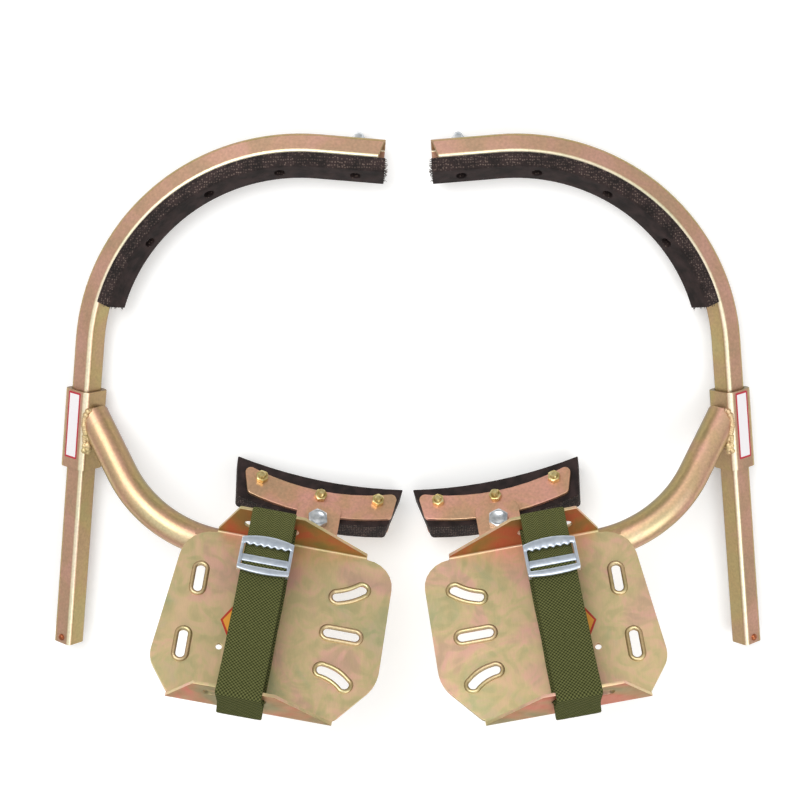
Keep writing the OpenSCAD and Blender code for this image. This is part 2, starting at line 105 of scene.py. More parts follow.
world = bpy.data.worlds.new("soft box")
world.use_nodes = True
sky = world.node_tree
facing = node(sky, "ShaderNodeTexCoord")
height = node(sky, "ShaderNodeSeparateXYZ", {0: facing.outputs["Generated"]})
sky_colour = ramp(sky, height.outputs["Z"], [(0.0, "#8a8a88"), (0.35, "#d8d8d6"), (0.8, "#ffffff")])
sky.links.new(sky_colour, sky.nodes["Background"].inputs["Color"])
sky.nodes["Background"].inputs["Strength"].default_value = 0.75
bpy.context.scene.world = world

for lamp_name, spot, size, watts in (("key", (-0.7, 1.2, 2.0), 1.6, 30),
    ("fill", (1.2, -0.9, 1.8), 1.6, 14)):
    lamp = bpy.data.objects.new(lamp_name, bpy.data.lights.new(lamp_name, "AREA"))
    lamp.data.size = size
    lamp.data.energy = watts
    lamp.location = spot
    lamp.rotation_euler = (-Vector(spot)).to_track_quat("-Z", "Y").to_euler()
    bpy.context.scene.collection.objects.link(lamp)

floor_mesh = bpy.data.meshes.new("floor")
floor_mesh.from_pydata([(-4, -4, -0.0006), (4, -4, -0.0006), (4, 4, -0.0006), (-4, 4, -0.0006)], [],
    [(0, 1, 2, 3)])
floor = bpy.data.objects.new("floor", floor_mesh)
floor_paint, floor_tree, floor_shader = finish("matt white floor", {
    "Base Color": linear("#f6f6f5"), "Roughness": 0.9,
    "Emission Color": linear("#ffffff"), "Emission Strength": 0.22})
floor_mesh.materials.append(floor_paint)
bpy.context.scene.collection.objects.link(floor)

# ---- Arms ----
# Each arm is 20 mm square mild steel tube, rolled edge up and bent to the pole's curve, then
# zinc plated and yellow passivated: satin gold with faint pink and green drifts. Its colour
# also follows how far each face looks up: a cream painted highlight on the ridge, rose on the
# face above it and olive painted shade on the face below.

SIDES = ("left", "right")
joints = {j["name"]: j for j in frame["joints"]}
mounts = {m["name"]: m for m in frame["record"]["mounts"]}
along_arm = Vector(joints["left_arm_slide"]["axis"])
inward = Vector((along_arm.y, -along_arm.x, 0))
bend_centre = Vector(mounts["left_pole_grip"]["pos_m"])
ROLL = radians(35)
BEND_R = 0.191
BEND_TURN = radians(88.5)
ARM_TIP = 0.058
MM = 0.001


def placed(x, y, z, origin):
    """A frame from its three axes and its origin."""
    return Matrix.Translation(origin) @ Matrix((x, y, z)).transposed().to_4x4()


def on_arm(turn, beyond=0.0):
    """On the arm's axis: X out of the bend, Y back along the arm, Z out of the upper outer face."""
    hook = placed(inward, along_arm, Vector((0, 0, 1)), bend_centre)
    return (hook @ Matrix.Rotation(pi - turn, 4, "Z") @ Matrix.Translation((BEND_R, -beyond, 0))
            @ Matrix.Rotation(ROLL, 4, "Y"))


def passivated_zinc_with_painted_light(name, faces, drift, rough):
    """Yellow passivated zinc with painted light: faces are ramp stops by how far a face looks up, which paint a
    highlight on faces that look up and shade on faces turned away; drift the strength of the pink and green
    patches, 30 to 60 mm across."""
    material, tree, shader = finish(name, {"Metallic": 0.72, "Roughness": rough})
    where = node(tree, "ShaderNodeTexCoord")
    up = node(tree, "ShaderNodeSeparateXYZ", {0: where.outputs["Normal"]})
    # Painted light: the base colour follows how far the face looks up, a painted highlight on top and painted
    # shade below.
    base = ramp(tree, up.outputs["Z"], faces)
    patches = node(tree, "ShaderNodeTexNoise",
        {"Vector": where.outputs["Object"], "Scale": 24.0, "Detail": 3.0, "Distortion": 0.8})
    rose = ramp(tree, patches.outputs["Fac"], [(0.36, "#b4ad78"), (0.47, "#c9a877"), (0.54, "#d3a48a"),
        (0.66, "#d9a09a")])
    tinted = node(tree, "ShaderNodeMix", {"Factor": drift, 6: base, 7: rose}, data_type="RGBA")
    grain = node(tree, "ShaderNodeTexNoise", {"Vector": where.outputs["Object"], "Scale": 420.0,
        "Detail": 4.0})
    fleck = node(tree, "ShaderNodeMapRange", {"Value": grain.outputs["Fac"], "From Min": 0.3,
        "From Max": 0.7, "To Min": 0.88, "To Max": 1.08})
    toned = node(tree, "ShaderNodeMix", {"Factor": 1.0, 6: tinted.outputs[2], 7: fleck.outputs[0]},
        data_type="RGBA", blend_type="MULTIPLY")
    tree.links.new(toned.outputs[2], shader.inputs["Base Color"])
    worn = node(tree, "ShaderNodeMapRange", {"Value": patches.outputs["Fac"], "From Min": 0.3,
        "From Max": 0.7, "To Min": rough - 0.07, "To Max": rough + 0.1})
    tree.links.new(worn.outputs[0], shader.inputs["Roughness"])
    bump = node(tree, "ShaderNodeBump", {"Strength": 0.12, "Distance": 0.0002,
        "Height": grain.outputs["Fac"]})
    tree.links.new(bump.outputs[0], shader.inputs["Normal"])
    return material


# Ramp by facing: cream painted highlight where the ridge looks up, darker olive painted shade on faces turned
# sideways.
tube_zinc_painted_light = passivated_zinc_with_painted_light("passivated zinc on rolled tube with painted light", [
    (0.0, "#6e5a3a"), (0.45, "#a18c5e"), (0.60, "#b29d6e"), (0.74, "#b9a070"), (0.80, "#cda18a"), (0.83,
        "#d3a78f"), (0.87, "#efe0b4"), (0.95, "#fff8da")], 0.22, 0.36)


def paint_cad(part, material):
    """Gives both hooks' CAD nodes of one name a material."""
    for side in SIDES:
        mesh = frame["nodes"][f"{side}_{part}"].data
        mesh.materials.clear()
        mesh.materials.append(material)


paint_cad("arm", tube_zinc_painted_light)

# ---- Rubber grip strips ----
# Each strip is cut from a slab of old fabric-ply rubber, 22 by 14 mm, and screwed under the
# bend. The cut sides show rows of pale cord ends; the face that grips the pole is smooth.


def cut_rubber(name):
    """Ply rubber: the attribute ply is 1 on cut sides, where cord ends show every 2.4 mm."""
    material, tree, shader = finish(name, {"Roughness": 0.7, "Specular IOR Level": 0.22})
    where = node(tree, "ShaderNodeTexCoord")
    ply = node(tree, "ShaderNodeAttribute", attribute_name="ply")
    cords = node(tree, "ShaderNodeTexVoronoi",
        {"Vector": where.outputs["Object"], "Scale": 470.0, "Randomness": 0.5})
    ends = node(tree, "ShaderNodeMapRange", {"Value": cords.outputs["Distance"], "From Min": 0.16,
        "From Max": 0.42, "To Min": 1.0, "To Max": 0.0})
    frayed = node(tree, "ShaderNodeTexNoise", {"Vector": where.outputs["Object"], "Scale": 95.0,
        "Detail": 3.0})
    some = node(tree, "ShaderNodeMapRange", {"Value": frayed.outputs["Fac"], "From Min": 0.38,
        "From Max": 0.62, "To Min": 0.35, "To Max": 1.0})
    shown = node(tree, "ShaderNodeMath", {0: ends.outputs[0], 1: some.outputs[0]}, operation="MULTIPLY")
    masked = node(tree, "ShaderNodeMath", {0: shown.outputs[0], 1: ply.outputs["Fac"]},
        operation="MULTIPLY")
    dust = ramp(tree, frayed.outputs["Fac"], [(0.35, "#1d1615"), (0.65, "#352827")])
    colour = node(tree, "ShaderNodeMix", {"Factor": masked.outputs[0], 6: dust, 7: linear("#75645b")},
        data_type="RGBA")
    tree.links.new(colour.outputs[2], shader.inputs["Base Color"])
    rough_side = node(tree, "ShaderNodeMath", {0: cords.outputs["Distance"], 1: ply.outputs["Fac"]},
        operation="MULTIPLY")
    relief = node(tree, "ShaderNodeMath", {0: frayed.outputs["Fac"], 1: rough_side.outputs[0]},
        operation="SUBTRACT")
    bump = node(tree, "ShaderNodeBump", {"Strength": 0.7, "Distance": 0.0009, "Height": relief.outputs[0]})
    tree.links.new(bump.outputs[0], shader.inputs["Normal"])
    return material


ply_rubber = cut_rubber("fabric ply rubber")


def softened(part, name, edge, material):
    """A copy of a CAD node on both hooks with its sharp edges worn round, in its place."""
    made = []
    for side in SIDES:
        source = frame["nodes"][f"{side}_{part}"]
        mesh = source.data.copy()
        shell = bmesh.new()
        shell.from_mesh(mesh)
        bmesh.ops.remove_doubles(shell, verts=shell.verts, dist=2e-6)
        bmesh.ops.dissolve_limit(shell, angle_limit=radians(0.5), verts=shell.verts, edges=shell.edges)
        sharp = [e for e in shell.edges if len(e.link_faces) == 2 and e.calc_face_angle(0) > radians(40)]
        bmesh.ops.bevel(shell, geom=sharp, offset=edge, segments=2, profile=0.5, affect="EDGES",
            clamp_overlap=False)
        bmesh.ops.triangulate(shell, faces=[f for f in shell.faces if len(f.verts) > 4])
        for face in shell.faces:
            face.smooth = True
        for e in shell.edges:
            e.smooth = len(e.link_faces) == 2 and e.calc_face_angle(0) < radians(38)
        mesh = bpy.data.meshes.new(name)
        shell.to_mesh(mesh)
        shell.free()
        mesh.materials.append(material)
        piece = bpy.data.objects.new(f"{side}_{name}", mesh)
        bpy.context.scene.collection.objects.link(piece)
        flat = piece.modifiers.new("flat faces stay flat", "WEIGHTED_NORMAL")
        flat.keep_sharp, flat.weight = True, 100
        piece.data = bpy.data.meshes.new_from_object(
            piece.evaluated_get(bpy.context.evaluated_depsgraph_get()))
        piece.modifiers.clear()
        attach(piece, body_of[f"{side}_{part}"])
        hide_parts(f"{side}_{part}")
        made.append(piece)
    return made


body_of = {n: body for body, members in frame["record"]["behaviour"]["bodies"].items() for n in members}


def mark_ply(piece, is_cut):
    """Writes the attribute ply: 1 on faces that is_cut(normal, centre) calls a cut side."""
    mesh = piece.data
    values = [1.0 if is_cut(p.normal, p.center) else 0.0 for p in mesh.polygons]
    mesh.attributes.new("ply", "FLOAT", "FACE").data.foreach_set("value", values)


for strip in softened("arm_rubber", "grip_strip", 0.0006, ply_rubber):
    mark_ply(strip, lambda normal, centre: abs(normal.z) > 0.68)

# The frayed cords at each strip's two sawn ends: short bent threads standing out of the ply.

STRIP_START = radians(11.5)
rng = np.random.default_rng(7)


def mirrored(mesh):
    """The same mesh on the other hook, with its faces still pointing outwards."""
    other = mesh.copy()
    other.transform(Matrix.Scale(-1, 4, (1, 0, 0)))
    other.flip_normals()
    return other


def on_both(mesh, name, body, replaces=()):
    """Places a left-hand mesh and its mirror image on the two hooks."""
    pair = []
    for side, shape in zip(SIDES, (mesh, mirrored(mesh))):
        piece = bpy.data.objects.new(f"{side}_{name}", shape)
        bpy.context.scene.collection.objects.link(piece)
        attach(piece, "frame" if body == "frame" else f"{side}_{body}")
        if replaces:
            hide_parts(*[f"{side}_{part}" for part in replaces])
        pair.append(piece)
    return pair


def set_inputs(modifier, values):
    """Sets a Geometry Nodes modifier's inputs by socket identifier."""
    for item in modifier.node_group.interface.items_tree:
        if item.item_type == "SOCKET" and item.in_out == "INPUT" and item.name in values:
            modifier[item.identifier] = values[item.name]


def applied(seed_mesh, group, values):
    """The mesh that a Geometry Nodes group makes from a seed mesh."""
    carrier = bpy.data.objects.new("carrier", seed_mesh)
    bpy.context.scene.collection.objects.link(carrier)
    modifier = carrier.modifiers.new("nodes", "NODES")
    modifier.node_group = group
    set_inputs(modifier, values)
    seen = carrier.evaluated_get(bpy.context.evaluated_depsgraph_get())
    result = bpy.data.meshes.new_from_object(seen)
    carrier.modifiers.clear()
    bpy.data.objects.remove(carrier)
    return result


def group_tree(name, sockets):
    """An empty geometry group with the named inputs, its input and its output node."""
    group = bpy.data.node_groups.new(name, "GeometryNodeTree")
    group.interface.new_socket("Geometry", in_out="INPUT", socket_type="NodeSocketGeometry")
    for label, kind in sockets:
        group.interface.new_socket(label, in_out="INPUT", socket_type="NodeSocket" + kind)
    group.interface.new_socket("Geometry", in_out="OUTPUT", socket_type="NodeSocketGeometry")
    return group, node(group, "NodeGroupInput"), node(group, "NodeGroupOutput")


# Copies of one shape, each at a point with its own turn
copies, copies_in, copies_out = group_tree("repeated piece",
    [("Shape", "Object"), ("Material", "Material"), ("Size", "Float")])
shape_info = node(copies, "GeometryNodeObjectInfo", {"Object": copies_in.outputs["Shape"]})
turn_of = node(copies, "GeometryNodeInputNamedAttribute", {"Name": "turn"}, data_type="FLOAT_VECTOR")
set_down = node(copies, "GeometryNodeInstanceOnPoints", {
    "Points": copies_in.outputs["Geometry"], "Instance": shape_info.outputs["Geometry"],
    "Rotation": turn_of.outputs[0], "Scale": copies_in.outputs["Size"]})
made_real = node(copies, "GeometryNodeRealizeInstances", {"Geometry": set_down.outputs[0]})
surfaced = node(copies, "GeometryNodeSetMaterial",
    {"Geometry": made_real.outputs[0], "Material": copies_in.outputs["Material"]})
copies.links.new(surfaced.outputs[0], copies_out.inputs[0])


def repeated(shape, frames, material):
    """One mesh with a copy of shape in each of the given frames, in metres."""
    seeds = bpy.data.meshes.new("seeds")
    seeds.from_pydata([f.translation for f in frames], [], [])
    turns = seeds.attributes.new("turn", "FLOAT_VECTOR", "POINT")
    turns.data.foreach_set("vector", [a for f in frames for a in f.to_euler("XYZ")])
    template = bpy.data.objects.new("template", shape)
    bpy.context.scene.collection.objects.link(template)
    result = applied(seeds, copies, {"Shape": template, "Material": material, "Size": 1.0})
    bpy.data.objects.remove(template)
    return result


def lofted(name, rings, material, closed=False):
    """A skin over rings of points in metres, capped at both ends unless it is closed."""
    count = len(rings[0])
    points = [tuple(p) for ring in rings for p in ring]
    faces = []
    last = len(rings) if closed else len(rings) - 1
    for i in range(last):
        a, b = i * count, ((i + 1) % len(rings)) * count
        faces += [(a + j, a + (j + 1) % count, b + (j + 1) % count, b + j) for j in range(count)]
    if not closed:
        faces += [tuple(reversed(range(count))), tuple(range((len(rings) - 1) * count, len(rings) * count))]
    mesh = bpy.data.meshes.new(name)
    mesh.from_pydata(points, [], faces)
    shell = bmesh.new()
    shell.from_mesh(mesh)
    bmesh.ops.recalc_face_normals(shell, faces=shell.faces)
    for face in shell.faces:
        face.smooth = True
    for e in shell.edges:
        e.smooth = len(e.link_faces) == 2 and e.calc_face_angle(0) < radians(38)
    shell.to_mesh(mesh)
    shell.free()
    mesh.materials.append(material)
    return mesh


def tube_ring(matrix, radius, count=6):
    return [matrix @ Vector((radius * cos(2 * pi * i / count), radius * sin(2 * pi * i / count),
        0)) for i in range(count)]


thread_rings = [tube_ring(Matrix.Translation((0.0005 * sin(2.4 * k / 4), 0, 0.0042 * k / 4)),
    0.00034 * (1 - 0.12 * k), 5) for k in range(5)]
thread = lofted("cord end", thread_rings, ply_rubber)
thread_frames = []
for end_frame, sign in ((on_arm(STRIP_START), 1), (on_arm(BEND_TURN, ARM_TIP + MM), -1)):
    for _ in range(46):
        spot = Vector((rng.uniform(-23.2, -10.8), -sign * rng.uniform(1.0, 3.2),
            rng.uniform(-10.2, 10.2))) * MM
        lean = Matrix.Rotation(-sign * (pi / 2 + rng.uniform(-0.5, 0.5)), 4,
            "X") @ Matrix.Rotation(rng.uniform(-0.6, 0.6), 4, "Y")
        thread_frames.append(end_frame @ Matrix.Translation(spot) @ lean)
cord_end_rubber, cord_tree, cord_shader = finish("frayed cotton cord", {"Roughness": 0.85})
cord_where = node(cord_tree, "ShaderNodeTexCoord")
cord_noise = node(cord_tree, "ShaderNodeTexNoise", {"Vector": cord_where.outputs["Object"], "Scale": 380.0})
cord_tree.links.new(ramp(cord_tree, cord_noise.outputs["Fac"], [(0.4, "#241b1a"), (0.66, "#6a5b53")]),
    cord_shader.inputs["Base Color"])
on_both(repeated(thread, thread_frames, cord_end_rubber), "cord_ends", "arm")

# ---- Strip screws, tip bolt and stop rivet ----
# Pan-head screws sit deep in the strip's wells, a long bolt near the tip ends in a domed nut,
# and a copper-coloured rivet near the arm's foot keeps it from leaving the sleeve.


def bright_zinc(name, colours, rough):
    """White or pale gold zinc on a cold-formed fastener, with a fine satin grain."""
    material, tree, shader = finish(name, {"Metallic": 0.9, "Roughness": rough})
    where = node(tree, "ShaderNodeTexCoord")
    cloud = node(tree, "ShaderNodeTexNoise", {"Vector": where.outputs["Object"], "Scale": 160.0,
        "Detail": 3.0})
    tree.links.new(ramp(tree, cloud.outputs["Fac"], colours), shader.inputs["Base Color"])
    grain = node(tree, "ShaderNodeTexNoise", {"Vector": where.outputs["Object"], "Scale": 900.0,
        "Detail": 2.0})
    bump = node(tree, "ShaderNodeBump", {"Strength": 0.08, "Distance": 0.0001,
        "Height": grain.outputs["Fac"]})
    tree.links.new(bump.outputs[0], shader.inputs["Normal"])
    return material


bright_steel = bright_zinc("bright zinc on a cold-headed screw", [(0.35, "#aab0b6"), (0.65, "#e3e6e8")],
    0.28)
gold_steel = bright_zinc("pale gold zinc on nuts and bolts", [(0.35, "#bfa562"), (0.65, "#ead9a0")], 0.3)
copper_steel = bright_zinc("copper-coloured rivet", [(0.35, "#8a4c30"), (0.65, "#b9714c")], 0.35)


def turned(name, profile, material, count=32, outline=None):
    """A solid of revolution about Z from (radius, height) points in mm, closed at its poles.
    outline(angle, radius, height) may give a point of its own, as the flats of a nut need."""
    rings = []
    for radius, height in profile:
        ring = []
        for i in range(count):
            angle = 2 * pi * i / count
            r, z = outline(angle, radius, height) if outline else (radius, height)
            ring.append(Vector((r * cos(angle), r * sin(angle), z)) * MM)
        rings.append(ring)
    return lofted(name, rings, material)


def hexagonal(across, chamfer_r):
    """Turns a round profile into a hexagon: radius 1 means the flats, chamfered at both ends."""
    def outline(angle, radius, height):
        if radius < 100:
            return radius, height
        flat = across / 2 / cos((angle + pi / 6) % (pi / 3) - pi / 6)
        drop = max(0.0, flat - chamfer_r) * tan(radians(30))
        return flat, height + (drop if radius == 101 else -drop)
    return outline


def hex_nut(name, across, tall, bore_r, material, tip=0.0):
    """A chamfered nut with the bolt's threaded end standing tip mm out of it."""
    edge = across / 2 * 0.97
    threads = [(bore_r - (0.28 if k % 2 else 0), tall + 0.35 * k) for k in range(int(tip / 0.35))]
    end = [(bore_r - 0.7, tall + tip + 0.1), (0.02, tall + tip + 0.25)] if tip else [(bore_r - 0.4,
        tall - 0.6), (0.02, tall - 0.6)]
    return turned(name, [(0.02, 0), (edge, 0), (101, 0), (102, tall), (edge, tall), (bore_r + 0.5, tall),
        (bore_r + 0.15, tall - 0.4)]
                  + threads + end, material, 48, hexagonal(across, edge))


def pan_head(name, radius, tall, shank_r, length, material):
    """A pan-head screw: head down along -Z from its seat, shank up along +Z."""
    return turned(name, [(0.02, -tall), (radius * 0.18, -tall), (radius * 0.22, -tall + 0.9),
        (radius * 0.34, -tall + 0.9), (radius * 0.4, -tall),
                         (radius * 0.72, -tall * 0.93), (radius * 0.93, -tall * 0.6), (radius,
                             -0.25), (radius * 0.98, 0), (shank_r, 0),
                         (shank_r, length - 0.5), (shank_r - 0.5, length), (0.02, length)], material)


SEAT = 16 * MM
into_arm = Matrix.Rotation(pi / 2, 4, "Y")
screw = pan_head("strip screw", 4, 3, 2.5, 9, bright_steel)
screw_frames = [on_arm(radians(t)) @ Matrix.Translation((-SEAT, 0, 0)) @ into_arm for t in (33.6, 56.3,
    77.9)]
on_both(repeated(screw, screw_frames, bright_steel), "strip_screws", "arm", ["arm_screws"])

tip_frame = on_arm(BEND_TURN, ARM_TIP - 0.024)
tip_bolt = pan_head("tip bolt", 4, 3, 3, 31, bright_steel)
on_both(repeated(tip_bolt, [tip_frame @ Matrix.Translation((-SEAT, 0, 0)) @ into_arm], bright_steel),
    "tip_bolt", "arm", ["arm_tip_bolt"])
dome_nut = turned("domed nut", [(3.05, 0), (4.85, 0), (101, 0), (102, 5), (4.85, 5), (4.7, 5.1), (4.5, 6.4),
    (3.9, 7.6), (2.9, 8.7), (1.5, 9.4),
                                (0.02, 9.7), (0.02, 5.1), (3.05,
                                    5.1)], bright_steel, 48, hexagonal(10, 4.85))
on_both(repeated(dome_nut, [tip_frame @ Matrix.Translation((0.010, 0, 0)) @ into_arm], bright_steel),
    "tip_nut", "arm", ["arm_tip_nut"])

hook_axis = placed(inward, along_arm, Vector((0, 0, 1)), bend_centre)
foot_of_arm = hook_axis @ Matrix.Rotation(pi, 4,
    "Z") @ Matrix.Translation((BEND_R, 0.2805, 0)) @ Matrix.Rotation(ROLL, 4, "Y")
rivet = turned("stop rivet", [(0.02, -2.9), (2, -2.9), (2, -0.02), (3.15, 0), (3.1, 0.7), (2.7, 1.4),
    (2.0, 1.95), (1.0, 2.25), (0.02, 2.3)], copper_steel)
on_both(repeated(rivet, [foot_of_arm @ Matrix.Translation((0, 0, 0.010))], copper_steel), "stop_rivet_head",
    "arm", ["stop_rivet"])

# ---- Sleeves and their labels ----
# Each sleeve is a short 28 mm square tube that the arm slides through, sawn square. A blank
# paper label with a red border is stuck on its upper outer face.

# The sleeve takes the arms' zinc, with its painted highlight and painted shade by facing.
softened("sleeve", "sleeve_tube", 0.0005, tube_zinc_painted_light)

label_frame = on_arm(0) @ Matrix.Translation((0, 0.081, 0))
label_paper, label_tree, label_shader = finish("printed paper label", {"Roughness": 0.45})
label_uv = node(label_tree, "ShaderNodeSeparateXYZ",
    {0: node(label_tree, "ShaderNodeUVMap", uv_map="UVMap").outputs[0]})
edges = []
for axis, border in (("X", 0.10), ("Y", 0.028)):
    middle = node(label_tree, "ShaderNodeMath", {0: label_uv.outputs[axis], 1: 0.5}, operation="SUBTRACT")
    away = node(label_tree, "ShaderNodeMath", {0: middle.outputs[0]}, operation="ABSOLUTE")
    edges.append(node(label_tree, "ShaderNodeMath", {0: away.outputs[0], 1: 0.5 - border},
        operation="GREATER_THAN").outputs[0])
framed = node(label_tree, "ShaderNodeMath", {0: edges[0], 1: edges[1]}, operation="MAXIMUM")
printed = node(label_tree, "ShaderNodeMix", {"Factor": framed.outputs[0], 6: linear("#ece8ea"),
    7: linear("#b8283a")}, data_type="RGBA")
label_tree.links.new(printed.outputs[2], label_shader.inputs["Base Color"])


def sticker(name, outline, lift, matrix, material):
    """A thin flat sticker with a UV map over its bounding box; outline in mm."""
    low = [min(p[k] for p in outline) for k in (0, 1)]
    high = [max(p[k] for p in outline) for k in (0, 1)]
    rings = [[matrix @ (Vector((x, y, z)) * MM) for x, y in outline] for z in (0.02, lift)]
    mesh = lofted(name, rings, material)
    layer = mesh.uv_layers.new(name="UVMap")
    flat = [((x - low[0]) / (high[0] - low[0]), (y - low[1]) / (high[1] - low[1])) for x, y in outline] * 2
    for loop in mesh.loops:
        layer.data[loop.index].uv = flat[loop.vertex_index]
    return mesh


def rounded_corners(corners, steps=5):
    """An outline with each (x, y, radius) corner rounded."""
    outline = []
    for i, (x, y, r) in enumerate(corners):
        corner = Vector((x, y))
        if r == 0:
            outline.append((x, y))
            continue
        a = (Vector(corners[i - 1][:2]) - corner).normalized()
        b = (Vector(corners[(i + 1) % len(corners)][:2]) - corner).normalized()
        half = acos(max(-1.0, min(1.0, a.dot(b)))) / 2
        centre = corner + (a + b).normalized() * r / sin(half)
        start, stop = corner + a * r / tan(half) - centre, corner + b * r / tan(half) - centre
        for k in range(steps + 1):
            spoke = start.slerp(stop, k / steps) if start.length and stop.length else start
            outline.append(tuple(centre + spoke))
    return outline


label_outline = rounded_corners([(-6.5, -34.5, 1), (7.5, -34.5, 1), (7.5, 26.5, 1), (-6.5, 26.5, 1)])
on_both(sticker("sleeve label", label_outline, 0.22, label_frame @ Matrix.Translation((0, 0, 0.014)),
    label_paper), "blank_label", "frame", ["sleeve_label"])

# ---- Leg pipes and welds ----
# Each leg is 27.5 mm pipe, bent and mitred onto the sleeve and under the foot plate. The
# joints are hand-laid fillet welds, plated over: overlapping coins of metal in a bead.

# Painted light by facing: a cream painted highlight along the pipe's top, darkening to olive brown painted shade
# on its lower side.
pipe_zinc_painted_light = passivated_zinc_with_painted_light("passivated zinc on bent pipe with painted light", [
    (0.0, "#6e5a3a"), (0.35, "#8f7a4e"), (0.6, "#b49a6c"), (0.78, "#cb9e84"), (0.9, "#d9b790"), (1.0,
        "#f0e2b4")], 0.25, 0.36)
paint_cad("leg_pipe", pipe_zinc_painted_light)

# The weld metal is also coloured by facing: painted highlight on top of the lumps, painted shade under them.
weld_zinc_painted_light = passivated_zinc_with_painted_light("passivated zinc on weld metal with painted light",
    [(0.0, "#6d5536"), (0.5, "#b39a68"), (0.9, "#e8d5a0")], 0.35, 0.42)

# A bead: lumps of seeded size at an even pitch along a line
bead, bead_in, bead_out = group_tree("weld bead",
    [("Width", "Float"), ("Pitch", "Float"), ("Seed", "Int"), ("Material", "Material")])
bead_curve = node(bead, "GeometryNodeMeshToCurve", {"Mesh": bead_in.outputs["Geometry"]})
bead_steps = node(bead, "GeometryNodeResampleCurve",
    {"Curve": bead_curve.outputs[0], "Length": bead_in.outputs["Pitch"]}, mode="LENGTH")
lump = node(bead, "GeometryNodeMeshIcoSphere", {"Radius": bead_in.outputs["Width"], "Subdivisions": 2})
lump_size = node(bead, "FunctionNodeRandomValue", {2: 0.8, 3: 1.2, "Seed": bead_in.outputs["Seed"]},
    data_type="FLOAT")
lumps = node(bead, "GeometryNodeInstanceOnPoints",
    {"Points": bead_steps.outputs[0], "Instance": lump.outputs[0], "Scale": lump_size.outputs[1]})
bead_real = node(bead, "GeometryNodeRealizeInstances", {"Geometry": lumps.outputs[0]})
bead_smooth = node(bead, "GeometryNodeSetShadeSmooth", {"Geometry": bead_real.outputs[0]})
bead_surface = node(bead, "GeometryNodeSetMaterial",
    {"Geometry": bead_smooth.outputs[0], "Material": bead_in.outputs["Material"]})
bead.links.new(bead_surface.outputs[0], bead_out.inputs[0])


def weld(points, width, pitch, seed):
    """A bead of the given half width along points in metres."""
    line = bpy.data.meshes.new("weld line")
    line.from_pydata([tuple(p) for p in points], [(i, i + 1) for i in range(len(points) - 1)], [])
    return applied(line, bead, {"Width": width * MM, "Pitch": pitch * MM, "Seed": seed,
        "Material": weld_zinc_painted_light})


def joined(name, meshes):
    """Several meshes as one, keeping their materials and smooth faces."""
    whole = bmesh.new()
    slots = []
    for mesh in meshes:
        first = len(whole.faces)
        whole.from_mesh(mesh)
        whole.faces.ensure_lookup_table()
        material = mesh.materials[-1]
        if material not in slots:
            slots.append(material)
        for face in whole.faces[first:]:
            face.material_index = slots.index(material)
    result = bpy.data.meshes.new(name)
    whole.to_mesh(result)
    whole.free()
    for material in slots:
        result.materials.append(material)
    return result


# The sleeve's weld runs round the pipe where it meets the sleeve, over the sleeve's edge
SLEEVE_HALF, SLEEVE_EDGE_R, WELD_SECTORS = 0.014, 0.005, 30


def outside_sleeve(p):
    """How far a point in the sleeve's own frame stands outside its rounded square."""
    x, z = (max(abs(a) - (SLEEVE_HALF - SLEEVE_EDGE_R), 0.0) for a in (p.x, p.z))
    return (x * x + z * z) ** 0.5 - SLEEVE_EDGE_R


in_sleeve = on_arm(0).inverted()
near = [in_sleeve @ v.co for v in frame["nodes"]["left_leg_pipe"].data.vertices]
on_sleeve = [p for p in near if abs(outside_sleeve(p)) < 0.0005 and min(p.x, p.z) < 0.0145]
middle = sum(on_sleeve, Vector()) / len(on_sleeve)
rim = {}
for p in on_sleeve:
    sector = int(np.arctan2(p.y - middle.y, p.z - middle.z) / (2 * pi) * WELD_SECTORS) % WELD_SECTORS
    if sector not in rim or (p - middle).length > (rim[sector] - middle).length:
        rim[sector] = p
saddle = [on_arm(0) @ rim[k] for k in sorted(rim)]
saddle.append(saddle[0])
low_end = max(p.y for p in rim.values())
RIDGE_PITCH, RIDGE_START, BLOB_PITCH, BLOB_START = 3.4, -24, 3, -4
ridge_run = [on_arm(0) @ Vector((-11.8 * MM - 0.4 * MM * (k % 2),
    low_end + (RIDGE_PITCH * k + RIDGE_START) * MM, 10.6 * MM)) for k in range(10)]
blob = [on_arm(0) @ Vector((-13.2 * MM, low_end + (BLOB_PITCH * k + BLOB_START) * MM,
    7.5 * MM)) for k in range(5)]
sleeve_weld = joined("sleeve weld", [weld(saddle, 2.6, 1.9, 3), weld(ridge_run, 2.9, 2.2, 5),
    weld(blob, 4.0, 2.8, 9)])
on_both(sleeve_weld, "sleeve_weld", "frame")

# ---- Foot plates ----
# Each foot plate is 3 mm steel sheet, cut, folded up at front and rear and welded to the
# pipe. Its five slots have rims pressed up in the same stroke, which round the cut edge.

plate_v = Vector(joints["left_buckle_slide"]["axis"])
plate_n = Vector(joints["left_pad_swivel"]["axis"])
plate_h = plate_v.cross(plate_n)
pivot = Vector(joints["left_pad_swivel"]["pos_m"])
PIVOT_X, PIVOT_Y, PLATE_T = 0.033, 0.029, 0.003
plate_origin = pivot - plate_h * PIVOT_X - plate_v * PIVOT_Y + plate_n * PLATE_T
on_plate = placed(plate_h, plate_v, plate_n, plate_origin)
on_pivot = on_plate @ Matrix.Translation((PIVOT_X, PIVOT_Y, 0))


